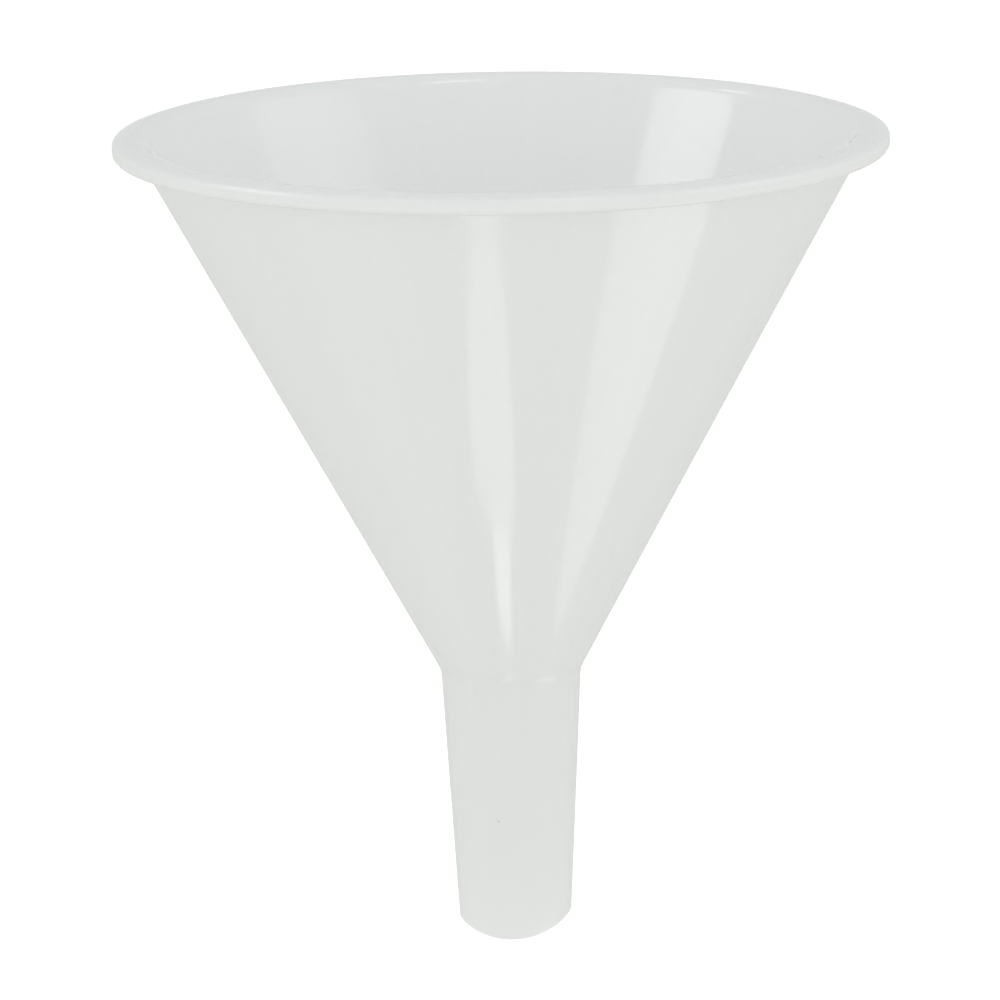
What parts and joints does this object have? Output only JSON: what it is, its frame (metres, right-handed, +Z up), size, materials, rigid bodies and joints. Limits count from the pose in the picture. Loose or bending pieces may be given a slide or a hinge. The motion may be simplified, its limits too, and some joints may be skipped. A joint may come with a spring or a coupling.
{
  "type": "laboratory funnel",
  "caption": "Translucent moulded plastic funnel with an out-turned rim, a conical bowl and a short tapered stem with an arched tip.",
  "frame": {"origin": "on the funnel's axis, where the cone's outer surface runs into the stem", "axes": "+Z up along the funnel's axis, out of its mouth; the stem's arched tip is highest at its -X and +X sides"},
  "size_m": [0.1, 0.1, 0.106],
  "materials": {
    "milky_polypropylene": "natural translucent polypropylene, satin"
  },
  "bodies": {
    "root": {"rim_flange": "milky_polypropylene", "cone_wall": "milky_polypropylene", "stem": "milky_polypropylene"}
  },
  "joints": []
}
